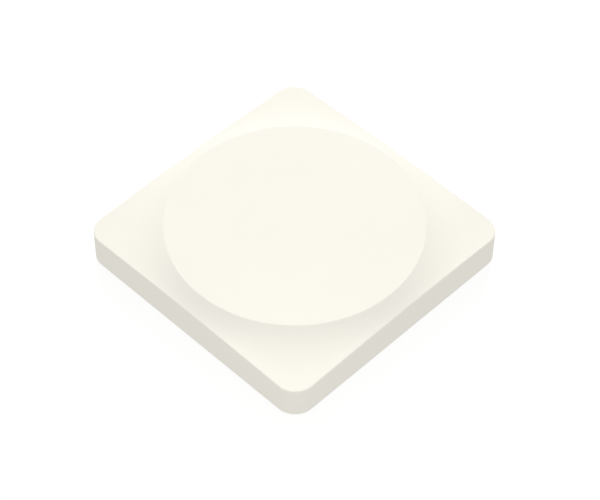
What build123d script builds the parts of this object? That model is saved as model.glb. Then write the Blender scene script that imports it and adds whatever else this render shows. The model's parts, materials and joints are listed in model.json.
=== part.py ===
from build123d import *
from math import atan2, cos, hypot, pi, radians, sin, sqrt, tan
import os

# Smart button: a square, battery-powered wireless push button whose whole top presses down.
# Millimetres. The origin is the middle of the face that it rests on, and +Z is up.
# X and Y run along the sides of the square.

# The outside of the cap
side = 60.0
plan_corner_radius = 4.5
disc_margin = 3.55
flare_drop_mid = 2.09
flare_drop_corner = 2.54
flare_power_mid = 1.25
flare_power_corner = 3.0
rim_edge_radius = 0.25
disc_edge_radius = 0.12
skirt_edge_radius = 0.25

# The stroke, and what is left under the skirt at its end
press_travel = 0.5
skirt_clearance = 0.3

# Clearances
skirt_gap = 0.4
bond_gap = 0.1
running_gap = 0.05
seat_gap = 0.02
free_gap = 0.3
cut_overrun = 1.0

# Walls of the cap and of the carrier that is bonded inside it
cover_wall = 1.0
skirt_wall = 1.3
dome_side_wall = 1.3
carrier_wall = 1.0
carrier_rim_thickness = 0.9

# The housing's walls and the foam pad under it
pad_thickness = 0.8
pad_recess = 0.4
pad_margin = 4.3
pad_corner_radius = 7.0
pad_hole_margin = 1.3
base_floor_thickness = 1.2
base_wall = 1.2
base_edge_chamfer = 0.3

# The coin cell
cell_radius = 10.0
cell_height = 3.2
can_wall = 0.3
gasket_wall = 0.5
gasket_lip = 0.1
can_crimp_drop = 0.25
contact_space = 0.9

# The battery door and its bayonet
door_margin = 1.95
door_rim_wall = 1.3
door_rim_height = 0.8
door_plate_margin = 0.7
door_plate_thickness = 0.5
door_edge_chamfer = 0.15
lug_reach = 1.25
lug_count = 3
lug_half_angle = 12
door_turn_angle = 30
notch_side_angle = 2
stop_half_angle = 1.5
coin_slot_length = 15.0
coin_slot_width = 1.8
coin_slot_depth = 0.6
well_gap = 0.4
well_wall = 1.0
cell_rib_gap = 0.15
cell_rib_width = 1.2
cell_rib_drop = 0.6
cell_rib_count = 4
cell_rib_start_angle = 45

# The circuit board and its screws
board_thickness = 0.8
board_edge_gap = 1.55
screw_edge_distance = 3.9
screw_count = 4
screw_start_angle = 45
screw_shank_radius = 0.85
screw_head_radius = 1.75
screw_head_height = 0.8
screw_depth = 3.0
screw_tip_gap = 0.3
screw_hole_gap = 0.15
screw_boss_wall = 1.3
drive_length = 2.0
drive_width = 0.45
drive_depth = 0.4

# The switch
switch_side = 6.0
switch_base_thickness = 0.3
switch_frame_thickness = 0.2
frame_tab_width = 2.6
frame_tab_height = 0.7
frame_tab_thickness = 0.15
cavity_radius = 2.2
dome_rim_radius = 1.9
dome_thickness = 0.08
flange_radius = 2.0
flange_thickness = 0.18
stem_radius = 1.5
stem_edge_chamfer = 0.15
plunger_reserve = 0.1
terminal_thickness = 0.12
terminal_width = 0.8
terminal_reach = 1.5
terminal_rise = 0.35
terminal_spacing = 4.4
terminal_bend_radius = 0.12

# The rubber pad that pushes the plunger
actuator_radius = 3.0
actuator_proud = 0.24
actuator_recess = 0.35

# The guide posts, their bores and the return springs round them
post_wall_distance = 5.6
post_radius = 1.2
post_floor_gap = 0.2
spring_post_gap = 0.45
spring_wire_radius = 0.2
spring_turns = 4
spring_seat_height = 1.8
spring_seat_margin = 0.65
arcs_per_turn = 4

# The snap legs and the windows that they hook into
leg_thickness = 1.0
leg_width = 5.0
leg_post_distance = 9.5
hook_engagement = 0.8
hook_height = 0.8
hook_lip = 0.3
window_bridge = 1.3

# The rubber stops
bumper_wall_distance = 1.8
bumper_head_radius = 0.95
bumper_stem_radius = 0.6
bumper_stem_length = 1.2
bumper_proud = 0.2
bumper_boss_wall = 0.8

# The ring that stiffens the carrier's dome
stiffener_inset = 2.05
stiffener_wall = 0.8
stiffener_depth = 0.8

# The battery's spring contacts
contact_thickness = 0.2
contact_width = 3.6
contact_bend_radius = 0.35
contact_foot_length = 3.2
negative_foot_radius = 8.6
negative_tip_reach = 1.6
negative_tip_lift = 0.35
positive_foot_gap = 0.5
positive_leg_gap = 1.5
positive_touch_height = 2.1
positive_tail_height = 1.2
positive_shoulder_height = 3.3

# The radio module
module_edge_distance = 4.4
module_width = 12.0
module_depth = 9.0
module_thickness = 0.4
shield_side_gap = 1.8
shield_height = 0.9
shield_wall = 0.15
shield_edge_gap = 0.4
shield_antenna_gap = 1.1
chip_shield_gap = 0.75
chip_height = 0.5
antenna_width = 5.0
antenna_depth = 1.4
antenna_height = 0.8
antenna_edge_gap = 0.3

# What else is soldered to the board
crystal_size = (3.2, 2.5, 0.7)
crystal_place = (10.5, 3.2)
bulk_capacitor_size = (3.5, 2.8, 1.1)
bulk_capacitor_place = (-12.4, -1.6)
small_chip_size = (1.0, 0.5, 0.45)
small_chip_rows = 3
small_chip_columns = 2
small_chip_spacing = (2.1, 1.4)
capacitor_place = (-9.6, 5.2)
resistor_place = (9.8, -5.4)
led_size = (1.6, 0.8, 0.6)
led_edge_distance = 4.3

# How finely the flare is followed, and where its sections lie between the disc and the outline
outline_points = 64
flare_shares = (-0.12, 0.0, 0.12, 0.28, 0.46, 0.64, 0.82, 1.0, 1.12)

# Levels, worked out from the resting face upwards
base_bottom = pad_thickness - pad_recess
floor_top = base_bottom + base_floor_thickness
cell_top = floor_top + cell_height
board_bottom = cell_top + contact_space
board_top = board_bottom + board_thickness
cavity_floor = board_top + switch_base_thickness
flange_bottom = cavity_floor + press_travel + dome_thickness + seat_gap
flange_top = flange_bottom + flange_thickness
frame_bottom = flange_top + seat_gap
frame_top = frame_bottom + switch_frame_thickness
plunger_top = frame_top + press_travel + plunger_reserve
carrier_dome_bottom = plunger_top + actuator_proud
carrier_dome_top = carrier_dome_bottom + carrier_wall
disc_top = carrier_dome_top + cover_wall
rim_top_corner = disc_top - flare_drop_corner
carrier_rim_top = rim_top_corner - cover_wall
carrier_rim_bottom = carrier_rim_top - carrier_rim_thickness
skirt_bottom = press_travel + skirt_clearance
bumper_top = carrier_rim_bottom - press_travel - seat_gap
base_wall_top = bumper_top - bumper_proud
hook_top = base_wall_top - window_bridge
spring_seat = floor_top + spring_seat_height
lug_top = floor_top + door_rim_height

# Plan sizes, worked out from the outside inwards
half = side / 2
corner_centre = half - plan_corner_radius
corner_reach = hypot(corner_centre, corner_centre) + plan_corner_radius
skirt_half = half - skirt_wall
skirt_corner_radius = plan_corner_radius - skirt_wall
carrier_half = skirt_half - bond_gap
base_half = skirt_half - skirt_gap
base_corner_radius = skirt_corner_radius - skirt_gap
base_inner_half = base_half - base_wall
pad_half = base_half - pad_margin
disc_radius = half - disc_margin
cover_dome_radius = disc_radius - dome_side_wall
carrier_dome_radius = cover_dome_radius - bond_gap
carrier_inner_radius = carrier_dome_radius - carrier_wall
stiffener_outer_radius = carrier_inner_radius - stiffener_inset
board_radius = carrier_inner_radius - board_edge_gap
screw_circle_radius = board_radius - screw_edge_distance
module_centre_y = board_radius - module_edge_distance - module_depth / 2
led_place = (0, led_edge_distance - board_radius)
post_offset = base_inner_half - post_wall_distance
leg_offset = post_offset - leg_post_distance
leg_outer = base_inner_half - free_gap
leg_inner = leg_outer - leg_thickness
bumper_offset = base_inner_half - bumper_wall_distance
guide_bore_radius = post_radius + running_gap
spring_radius = post_radius + spring_post_gap + spring_wire_radius
spring_seat_radius = spring_radius + spring_seat_margin
door_radius = cell_radius + door_margin
opening_radius = door_radius + bond_gap
lug_radius = door_radius + lug_reach
notch_radius = lug_radius + bond_gap
well_radius = lug_radius + well_gap
door_plate_radius = notch_radius + door_plate_margin
door_recess_radius = door_plate_radius + bond_gap
door_recess_top = base_bottom + door_plate_thickness + seat_gap
pad_hole_radius = door_recess_radius + pad_hole_margin
pilot_radius = screw_shank_radius + running_gap


def rod(radius, bottom, top, place=(0, 0)):
    """A round upright rod between two levels."""
    return extrude(Pos(place[0], place[1], bottom) * Circle(radius), top - bottom)


def ring(outer, inner, bottom, top):
    """An upright tube round the middle, between two levels."""
    return extrude(Pos(0, 0, bottom) * (Circle(outer) - Circle(inner)), top - bottom)


def rounded_block(half_width, corner, bottom, top):
    """A square block with rounded upright edges, between two levels."""
    outline = RectangleRounded(2 * half_width, 2 * half_width, corner)
    return extrude(Pos(0, 0, bottom) * outline, top - bottom)


def block(centre, size, bottom):
    """A plain block that stands at a level, with its middle at a place of the plan."""
    return extrude(Pos(centre[0], centre[1], bottom) * Rectangle(size[0], size[1]), size[2])


def sector(outer, inner, bottom, top, half_angle, middle):
    """A piece of an upright tube, so many degrees to each side of a direction."""
    reach = outer / cos(radians(half_angle)) + cut_overrun
    corner = (reach * cos(radians(half_angle)), reach * sin(radians(half_angle)))
    wedge = Polygon((0, 0), (corner[0], -corner[1]), corner, align=None)
    piece = ring(outer, inner, bottom, top) & extrude(Pos(0, 0, bottom) * wedge, top - bottom)
    return Rot(0, 0, middle) * piece


def bent_strip(points, width, thickness, bend_radius):
    """A strip of sheet metal that follows a bent line in the XZ plane, centred on Y = 0."""
    path = FilletPolyline([(x, 0, z) for x, z in points], radius=bend_radius)
    start = Plane(origin=path @ 0, x_dir=(0, 1, 0), z_dir=path % 0)
    return sweep(start * Rectangle(width, thickness), path)


def four_corners(offset):
    """The four places at one offset from both middle lines."""
    return [(x * offset, y * offset) for x in (-1, 1) for y in (-1, 1)]


def outline_reach(angle):
    """How far the cap's outline is from its middle, in a direction."""
    folded = abs((angle + pi / 4) % (pi / 2) - pi / 4)
    if half * tan(folded) <= corner_centre:
        return half / cos(folded)
    across = corner_centre * (cos(folded) - sin(folded))
    along = corner_centre * (cos(folded) + sin(folded))
    return along + sqrt(plan_corner_radius**2 - across**2)


def flare_point(angle, share):
    """A point of the concave flare: share 0 is the disc's edge, share 1 the cap's outline."""
    reach = outline_reach(angle)
    towards_corner = (reach - half) / (corner_reach - half)
    power = flare_power_mid + (flare_power_corner - flare_power_mid) * towards_corner
    drop = flare_drop_mid + (flare_drop_corner - flare_drop_mid) * towards_corner
    distance = disc_radius + share * (reach - disc_radius)
    height = disc_top - drop + drop * max(1 - share, 0) ** power
    return (distance * cos(angle), distance * sin(angle), height)


def flare_section(share):
    """The closed line round the flare at one share of its width."""
    angles = [2 * pi * step / outline_points for step in range(outline_points)]
    return Wire([Edge.make_spline([flare_point(a, share) for a in angles], periodic=True)])


def on_outline(edge):
    """Whether the middle of an edge lies on the cap's outline."""
    middle = edge @ 0.5
    reach = outline_reach(atan2(middle.Y, middle.X))
    return abs(hypot(middle.X, middle.Y) - reach) < seat_gap


def make_top_cover():
    """The soft-touch cap: raised disc, concave flare, rim and skirt in one moulding."""
    outside = rounded_block(half, plan_corner_radius, skirt_bottom, disc_top)
    skirt_edge = outside.faces().sort_by(Axis.Z)[0].outer_wire().edges()
    outside = fillet(skirt_edge, skirt_edge_radius)
    flare = Shell.make_loft([flare_section(share) for share in flare_shares]).faces()[0]
    outside -= Solid.extrude(flare, (0, 0, disc_top))
    curved = outside.edges().filter_by(GeomType.BSPLINE)
    outside = fillet(curved.filter_by(on_outline), rim_edge_radius)
    disc_edge = outside.faces().sort_by(Axis.Z)[-1].outer_wire().edges()
    outside = fillet(disc_edge, disc_edge_radius)
    below = skirt_bottom - cut_overrun
    outside -= rounded_block(skirt_half, skirt_corner_radius, below, carrier_rim_top)
    return outside - rod(cover_dome_radius, below, carrier_dome_top)


def make_snap_leg():
    """One leg of the carrier, with the hook that holds the cap on, on the +X side."""
    hook_bottom = hook_top - hook_height
    leg_centre = ((leg_inner + leg_outer) / 2, 0)
    leg_size = (leg_thickness, leg_width, carrier_rim_bottom - hook_bottom)
    leg = block(leg_centre, leg_size, hook_bottom)
    tip = base_inner_half + hook_engagement
    profile = Polygon(
        (leg_outer, hook_bottom),
        (tip, hook_top - hook_lip),
        (tip, hook_top),
        (leg_outer, hook_top),
        align=None,
    )
    hook = extrude(Plane.XZ * profile, leg_width / 2, both=True)
    return leg + hook


def snap_places():
    """Where the eight snap legs and their windows are: two on each side."""
    turns = [Rot(0, 0, 360 * quarter / 4) for quarter in range(4)]
    return [turn * Pos(0, way * leg_offset, 0) for turn in turns for way in (-1, 1)]


def make_cover_carrier():
    """The stiff plate bonded inside the cap, with its legs and guide posts."""
    corner = skirt_corner_radius - bond_gap
    carrier = rounded_block(carrier_half, corner, carrier_rim_bottom, carrier_rim_top)
    carrier += rod(carrier_dome_radius, carrier_rim_bottom, carrier_dome_top)
    below = carrier_rim_bottom - cut_overrun
    carrier -= rod(carrier_inner_radius, below, carrier_dome_bottom)
    stiffener_inner = stiffener_outer_radius - stiffener_wall
    stiffener_bottom = carrier_dome_bottom - stiffener_depth
    carrier += ring(stiffener_outer_radius, stiffener_inner, stiffener_bottom, carrier_dome_bottom)
    seat_radius = actuator_radius + running_gap
    seat_top = carrier_dome_bottom + actuator_recess
    carrier -= rod(seat_radius, stiffener_bottom, seat_top)
    post_bottom = floor_top + press_travel + post_floor_gap
    for place in four_corners(post_offset):
        carrier += rod(post_radius, post_bottom, carrier_rim_bottom, place)
    leg = make_snap_leg()
    for place in snap_places():
        carrier += place * leg
    return carrier


def make_actuator_pad():
    """The rubber pad in the carrier's seat, which rests on the switch's plunger."""
    return rod(actuator_radius, plunger_top, carrier_dome_bottom + actuator_recess)


def make_return_spring(place):
    """A coil spring round one guide post, wound as a chain of tangent arcs."""
    low = spring_seat + spring_wire_radius + seat_gap
    climb = carrier_rim_bottom - spring_seat - 2 * (spring_wire_radius + seat_gap)
    steps = spring_turns * arcs_per_turn
    points = []
    for step in range(steps + 1):
        angle = 2 * pi * step / arcs_per_turn
        x = place[0] + spring_radius * cos(angle)
        y = place[1] + spring_radius * sin(angle)
        points.append(Vector(x, y, low + climb * step / steps))
    tangent = Vector(0, 2 * pi * spring_radius * spring_turns, climb)
    edges = []
    for start, end in zip(points, points[1:]):
        arc = Edge.make_tangent_arc(start, tangent, end)
        tangent = arc % 1
        edges.append(arc)
    path = Wire(edges)
    return sweep(Plane(origin=path @ 0, z_dir=path % 0) * Circle(spring_wire_radius), path)


def make_stop_bumper(place):
    """A rubber button pressed into a boss, which ends the stroke quietly."""
    stem = rod(bumper_stem_radius, base_wall_top - bumper_stem_length, base_wall_top, place)
    return stem + rod(bumper_head_radius, base_wall_top, bumper_top, place)


def bumper_places():
    """Where the four rubber stops are: in the middle of each side."""
    return [(bumper_offset, 0), (0, bumper_offset), (-bumper_offset, 0), (0, -bumper_offset)]


def lug_angles():
    """The directions of the door's lugs when it is locked."""
    return [360 * lug / lug_count for lug in range(lug_count)]


def make_pad(half_width, corner, hole, bottom, top):
    """The foam pad's outline between two levels: a rounded square with a round hole."""
    return rounded_block(half_width, corner, bottom, top) - rod(hole, bottom, top)


def add_battery_well(housing):
    """The well round the coin cell, its ribs, and the bayonet that holds the door."""
    housing += ring(well_radius + well_wall, well_radius, floor_top, board_bottom)
    rib_inner = cell_radius + cell_rib_gap
    rib_length = well_radius + well_wall / 2 - rib_inner
    rib_bottom = lug_top + free_gap
    rib_size = (rib_length, cell_rib_width, cell_top - cell_rib_drop - rib_bottom)
    rib = block((rib_inner + rib_length / 2, 0), rib_size, rib_bottom)
    for turn in range(cell_rib_count):
        housing += Rot(0, 0, cell_rib_start_angle + 360 * turn / cell_rib_count) * rib
    below = base_bottom - cut_overrun
    housing -= rod(opening_radius, below, floor_top)
    housing -= rod(door_recess_radius, below, door_recess_top)
    notch_half_angle = lug_half_angle + notch_side_angle
    first_stop = -lug_half_angle - stop_half_angle
    last_stop = door_turn_angle + lug_half_angle + stop_half_angle
    for angle in lug_angles():
        opened = angle + door_turn_angle
        housing -= sector(notch_radius, door_radius, below, floor_top, notch_half_angle, opened)
        for stop in (first_stop, last_stop + notch_side_angle):
            stop_outer = well_radius + well_wall / 2
            housing += sector(
                stop_outer, notch_radius - lug_reach / 2, floor_top, lug_top, stop_half_angle, angle + stop
            )
    return housing


def make_base_housing():
    """The tray that carries the board, the battery and the sliding cap."""
    above = base_wall_top + cut_overrun
    housing = rounded_block(base_half, base_corner_radius, base_bottom, base_wall_top)
    under_edge = housing.faces().sort_by(Axis.Z)[0].outer_wire().edges()
    housing = chamfer(under_edge, base_edge_chamfer)
    inner_corner = base_corner_radius - base_wall
    housing -= rounded_block(base_inner_half, inner_corner, floor_top, above)
    housing = add_battery_well(housing)
    recess_half = pad_half + bond_gap
    recess_corner = pad_corner_radius + bond_gap
    recess_hole = pad_hole_radius - bond_gap
    housing -= make_pad(recess_half, recess_corner, recess_hole, 0, pad_thickness)

    screw_boss = rod(pilot_radius + screw_boss_wall, floor_top, board_bottom)
    pilot_bottom = board_bottom - screw_depth - screw_tip_gap
    screw_boss -= rod(pilot_radius, pilot_bottom, board_bottom)
    for place in PolarLocations(screw_circle_radius, screw_count, screw_start_angle):
        housing += place * screw_boss

    for place in four_corners(post_offset):
        housing += rod(spring_seat_radius, floor_top, spring_seat, place)
        housing -= rod(guide_bore_radius, floor_top, spring_seat, place)

    for place in bumper_places():
        boss_radius = bumper_stem_radius + bumper_boss_wall
        housing += rod(boss_radius, floor_top, base_wall_top, place)
        hole_bottom = base_wall_top - bumper_stem_length - seat_gap
        housing -= rod(bumper_stem_radius + seat_gap, hole_bottom, above, place)

    window_bottom = hook_top - hook_height - press_travel - bond_gap
    window_depth = base_wall + 2 * seat_gap
    window_width = leg_width + 2 * free_gap
    window_centre = (base_inner_half + base_wall / 2, 0)
    window = block(window_centre, (window_depth, window_width, hook_top - window_bottom), window_bottom)
    for place in snap_places():
        housing -= place * window
    return housing


def make_battery_door():
    """The round door: a coin turns it, its lugs pass the notches, and its plate covers them."""
    door = rod(door_plate_radius, base_bottom, base_bottom + door_plate_thickness)
    door = chamfer(door.faces().sort_by(Axis.Z)[0].outer_wire().edges(), door_edge_chamfer)
    door += rod(door_radius, base_bottom, floor_top)
    door += ring(door_radius, door_radius - door_rim_wall, floor_top, lug_top)
    lug_inner = door_radius - door_rim_wall / 2
    for angle in lug_angles():
        door += sector(lug_radius, lug_inner, floor_top + seat_gap, lug_top, lug_half_angle, angle)
    slot = extrude(Pos(0, 0, base_bottom) * SlotOverall(coin_slot_length, coin_slot_width), coin_slot_depth)
    return door - slot


def make_circuit_board():
    """The round board under the disc, with its screw holes."""
    board = rod(board_radius, board_bottom, board_top)
    hole = rod(screw_shank_radius + screw_hole_gap, board_bottom, board_top)
    for place in PolarLocations(screw_circle_radius, screw_count, screw_start_angle):
        board -= place * hole
    return board


def make_board_screws():
    """The pan-head screws that hold the board to the housing."""
    screw = rod(screw_shank_radius, board_bottom - screw_depth, board_top)
    screw += rod(screw_head_radius, board_top, board_top + screw_head_height)
    recess_bottom = board_top + screw_head_height - drive_depth
    screw -= block((0, 0), (drive_length, drive_width, drive_depth), recess_bottom)
    screw -= block((0, 0), (drive_width, drive_length, drive_depth), recess_bottom)
    places = PolarLocations(screw_circle_radius, screw_count, screw_start_angle)
    return Compound([place * screw.solid() for place in places])


def make_switch():
    """The tactile switch: housing, snap dome, plunger, steel frame and terminals."""
    housing = block((0, 0), (switch_side, switch_side, frame_bottom - board_top), board_top)
    housing -= rod(cavity_radius, cavity_floor, frame_bottom)

    dome_height = flange_bottom - seat_gap - cavity_floor
    sphere_radius = (dome_rim_radius**2 + dome_height**2) / (2 * dome_height)
    centre = Pos(0, 0, cavity_floor + dome_height - sphere_radius)
    dome = centre * (Sphere(sphere_radius) - Sphere(sphere_radius - dome_thickness))
    dome &= rod(cavity_radius, cavity_floor, flange_bottom)

    plunger = rod(flange_radius, flange_bottom, flange_top) + rod(stem_radius, flange_top, plunger_top)
    plunger = chamfer(plunger.faces().sort_by(Axis.Z)[-1].edges(), stem_edge_chamfer)

    frame = block((0, 0), (switch_side, switch_side, switch_frame_thickness), frame_bottom)
    frame -= rod(stem_radius + running_gap, frame_bottom, frame_top)
    tab_size = (frame_tab_width, frame_tab_thickness, frame_tab_height)
    for way in (-1, 1):
        tab_centre = (0, way * (switch_side + frame_tab_thickness) / 2)
        frame += block(tab_centre, tab_size, frame_top - frame_tab_height)

    foot_level = board_top + terminal_thickness / 2
    shoulder = switch_side / 2 + terminal_reach / 4
    knee = switch_side / 2 + terminal_reach / 2
    line = [
        (switch_side / 2, foot_level + terminal_rise),
        (shoulder, foot_level + terminal_rise),
        (knee, foot_level),
        (switch_side / 2 + terminal_reach, foot_level),
    ]
    terminal = bent_strip(line, terminal_width, terminal_thickness, terminal_bend_radius)
    spots = [Rot(0, 0, turn) * Pos(0, y * terminal_spacing / 2, 0) for turn in (0, 180) for y in (-1, 1)]
    terminals = Compound([spot * terminal.solid() for spot in spots])
    return housing, dome, plunger, frame, terminals


def make_coin_cell():
    """The coin cell: its can faces the door and its cap faces the board."""
    can_top = cell_top - can_crimp_drop
    can = rod(cell_radius, floor_top, can_top)
    gasket_outer = cell_radius - can_wall
    can -= rod(gasket_outer, floor_top + can_wall, can_top)
    gasket_inner = gasket_outer - gasket_wall
    gasket = ring(gasket_outer, gasket_inner, floor_top + can_wall, can_top + gasket_lip)
    cap = rod(gasket_inner, floor_top + can_wall, cell_top)
    return can, gasket, cap


def make_contacts():
    """The two spring contacts under the board: one at the can's side, one on the cap."""
    foot_level = board_bottom - contact_thickness / 2
    touch_level = cell_top + contact_thickness / 2 + seat_gap
    negative_line = [
        (-negative_foot_radius, foot_level),
        (contact_foot_length - negative_foot_radius, foot_level),
        (0, touch_level),
        (negative_tip_reach, touch_level + negative_tip_lift),
    ]
    negative = bent_strip(negative_line, contact_width, contact_thickness, contact_bend_radius)

    touch_x = cell_radius + contact_thickness / 2 + seat_gap
    leg_x = cell_radius + positive_leg_gap
    positive_line = [
        (well_radius - positive_foot_gap, foot_level),
        (leg_x, foot_level),
        (leg_x, floor_top + positive_shoulder_height),
        (touch_x, floor_top + positive_touch_height),
        (leg_x, floor_top + positive_tail_height),
    ]
    positive = bent_strip(positive_line, contact_width, contact_thickness, contact_bend_radius)
    return positive, negative


def make_radio_module():
    """The radio module: its small board, the chip under a shield, and the antenna."""
    centre = (0, module_centre_y)
    module_top = board_top + module_thickness
    board = block(centre, (module_width, module_depth, module_thickness), board_top)
    antenna_y = module_centre_y + module_depth / 2 - antenna_edge_gap - antenna_depth / 2
    shield_rear = antenna_y - antenna_depth / 2 - shield_antenna_gap
    shield_front = module_centre_y - module_depth / 2 + shield_edge_gap
    shield_y = (shield_front + shield_rear) / 2
    shield_width = module_width - 2 * shield_side_gap
    shield_depth = shield_rear - shield_front
    shield = block((0, shield_y), (shield_width, shield_depth, shield_height), module_top)
    hollow_width = shield_width - 2 * shield_wall
    hollow_depth = shield_depth - 2 * shield_wall
    shield -= block((0, shield_y), (hollow_width, hollow_depth, shield_height - shield_wall), module_top)
    chip_side = hollow_depth - 2 * chip_shield_gap
    chip = block((0, shield_y), (chip_side, chip_side, chip_height), module_top)
    antenna = block((0, antenna_y), (antenna_width, antenna_depth, antenna_height), module_top)
    return board, chip, shield, antenna


def make_small_chips(centre):
    """A small group of equal chip components in rows and columns."""
    grid = GridLocations(*small_chip_spacing, small_chip_columns, small_chip_rows)
    chip = block(centre, small_chip_size, board_top)
    return Compound([place * chip.solid() for place in grid])


os.makedirs("parts", exist_ok=True)

housing, dome, plunger, frame, terminals = make_switch()
can, gasket, cap = make_coin_cell()
positive, negative = make_contacts()
module_board, radio_chip, shield, antenna = make_radio_module()

pieces = {
    "top_cover": make_top_cover(),
    "cover_carrier": make_cover_carrier(),
    "actuator_pad": make_actuator_pad(),
    "base_housing": make_base_housing(),
    "battery_door": make_battery_door(),
    "mounting_pad": make_pad(pad_half, pad_corner_radius, pad_hole_radius, 0, pad_thickness),
    "circuit_board": make_circuit_board(),
    "board_screws": make_board_screws(),
    "switch_housing": housing,
    "switch_dome": dome,
    "switch_plunger": plunger,
    "switch_frame": frame,
    "switch_terminals": terminals,
    "battery_can": can,
    "battery_gasket": gasket,
    "battery_cap": cap,
    "positive_contact": positive,
    "negative_contact": negative,
    "radio_board": module_board,
    "radio_chip": radio_chip,
    "radio_shield": shield,
    "chip_antenna": antenna,
    "crystal": block(crystal_place, crystal_size, board_top),
    "bulk_capacitor": block(bulk_capacitor_place, bulk_capacitor_size, board_top),
    "capacitors": make_small_chips(capacitor_place),
    "resistors": make_small_chips(resistor_place),
    "status_led": block(led_place, led_size, board_top),
}
corner_names = ("left_front", "left_rear", "right_front", "right_rear")
for name, place in zip(corner_names, four_corners(post_offset)):
    pieces[f"return_spring_{name}"] = make_return_spring(place)
for name, place in zip(("right", "rear", "left", "front"), bumper_places()):
    pieces[f"stop_bumper_{name}"] = make_stop_bumper(place)

for name, piece in pieces.items():
    export_step(piece, f"parts/{name}.step")

print(f"{len(pieces)} nodes, {side:.1f} mm wide, {disc_top:.2f} mm high, travel {press_travel:.2f} mm")
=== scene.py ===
# %% [markdown]
# # A square smart button, dressed for a library of parts
#
# The button is a battery-powered switch for a smart home. Its whole top is one off-white moulding,
# a flat round plateau whose crisp edge flares down to a square rim, and all of it presses down.
#
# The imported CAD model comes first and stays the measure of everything. What its solids show well
# keeps its mesh and only gets a finish. What needs finer form is built again in the same place.

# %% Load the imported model
import json
from math import atan2, cos, pi, radians, sin, sqrt, tan

import bmesh
import bpy
from mathutils import Matrix, Vector

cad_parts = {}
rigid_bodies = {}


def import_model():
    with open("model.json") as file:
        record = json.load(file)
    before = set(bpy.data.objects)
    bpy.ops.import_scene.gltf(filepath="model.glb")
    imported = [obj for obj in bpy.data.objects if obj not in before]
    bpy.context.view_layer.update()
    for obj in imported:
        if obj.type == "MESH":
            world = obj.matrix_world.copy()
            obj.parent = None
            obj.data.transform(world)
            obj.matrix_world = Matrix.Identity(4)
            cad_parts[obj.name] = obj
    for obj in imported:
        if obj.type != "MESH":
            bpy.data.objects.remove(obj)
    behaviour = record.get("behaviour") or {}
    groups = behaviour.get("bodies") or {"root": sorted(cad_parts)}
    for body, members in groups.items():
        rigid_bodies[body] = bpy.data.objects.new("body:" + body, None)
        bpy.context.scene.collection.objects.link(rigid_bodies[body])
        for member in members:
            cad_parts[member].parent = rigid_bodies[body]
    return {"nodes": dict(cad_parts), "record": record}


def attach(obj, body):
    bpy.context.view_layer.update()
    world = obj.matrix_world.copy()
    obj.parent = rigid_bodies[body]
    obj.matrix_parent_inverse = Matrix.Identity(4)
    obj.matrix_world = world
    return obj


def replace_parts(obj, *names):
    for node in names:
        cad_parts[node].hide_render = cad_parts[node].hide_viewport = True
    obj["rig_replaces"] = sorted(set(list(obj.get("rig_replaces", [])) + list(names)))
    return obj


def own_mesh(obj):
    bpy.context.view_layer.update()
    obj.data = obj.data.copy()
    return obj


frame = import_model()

MM = 0.001
scene = bpy.context.scene
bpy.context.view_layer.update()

# %% [markdown]
# ## The camera
#
# The photograph looks down on one corner. Its outlines were fitted with a pinhole camera: how far
# round, how high and how far away it stood, and by how much it looked past the button's middle. The
# three directions below are the camera's own axes, and a Blender camera looks along its own minus Z,
# so its third axis points back, away from the button.

# %% Place the camera
view_azimuth = radians(44.33)
view_elevation = radians(49.86)
view_roll = radians(0.53)
view_distance = 0.440
view_centre = Vector((0, 0, 0.8 * MM))
shift_right = 1.13 * MM
shift_up = 0.69 * MM
lens_length = 129.1
sensor_width = 36

level = cos(view_elevation)
back = Vector((sin(view_azimuth) * level, -cos(view_azimuth) * level, sin(view_elevation)))
flat_right = Vector((cos(view_azimuth), sin(view_azimuth), 0))
flat_up = back.cross(flat_right)
right = flat_right * cos(view_roll) + flat_up * sin(view_roll)
up = flat_up * cos(view_roll) - flat_right * sin(view_roll)

camera = bpy.data.objects.new("camera", bpy.data.cameras.new("camera"))
camera.data.lens = lens_length
camera.data.sensor_width = sensor_width
camera.data.clip_start = 0.01
scene.collection.objects.link(camera)
place = view_centre + back * view_distance + right * shift_right + up * shift_up
axes = Matrix((right, up, back)).transposed().to_4x4()
camera.matrix_world = Matrix.Translation(place) @ axes
scene.camera = camera
scene.view_settings.view_transform = "Standard"
print("camera at", [round(v, 4) for v in place])

# %% [markdown]
# ## Small helpers for shader and geometry trees
#
# Both kinds of tree are nodes joined by links. One helper adds a node, sets its inputs by name and
# gives the node back. Another fills the inputs in their order and gives back the first output, and
# arithmetic is done with that one, so that the cells below read like sentences.

# %% Helpers that add nodes
def plug(tree, socket, value):
    """Join an output to a socket, or set the socket to a plain value."""
    if isinstance(value, bpy.types.NodeSocket):
        tree.links.new(value, socket)
    else:
        socket.default_value = value


def add_node(tree, kind, **inputs):
    """Add a node, set its inputs by name and return it."""
    node = tree.nodes.new(kind)
    for name, value in inputs.items():
        plug(tree, node.inputs[name.replace("_", " ")], value)
    return node


def fill_node(tree, kind, *values, **settings):
    """Add a node, set it up, fill its inputs in their order and return its first output."""
    node = tree.nodes.new(kind)
    for name, value in settings.items():
        setattr(node, name, value)
    for socket, value in zip(node.inputs, values):
        plug(tree, socket, value)
    return node.outputs[0]


def work_out(tree, operation, *values):
    """One step of arithmetic on sockets and numbers."""
    return fill_node(tree, "ShaderNodeMath", *values, operation=operation)


def ranged(tree, value, low, high, start=0.3, end=0.7):
    """Spread a value that runs between start and end over another range."""
    return fill_node(tree, "ShaderNodeMapRange", value, start, end, low, high)


def new_material(name):
    """An empty node material, its tree and its Object coordinates."""
    material = bpy.data.materials.new(name)
    material.use_nodes = True
    tree = material.node_tree
    tree.nodes.clear()
    return material, tree, tree.nodes.new("ShaderNodeTexCoord").outputs["Object"]


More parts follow.
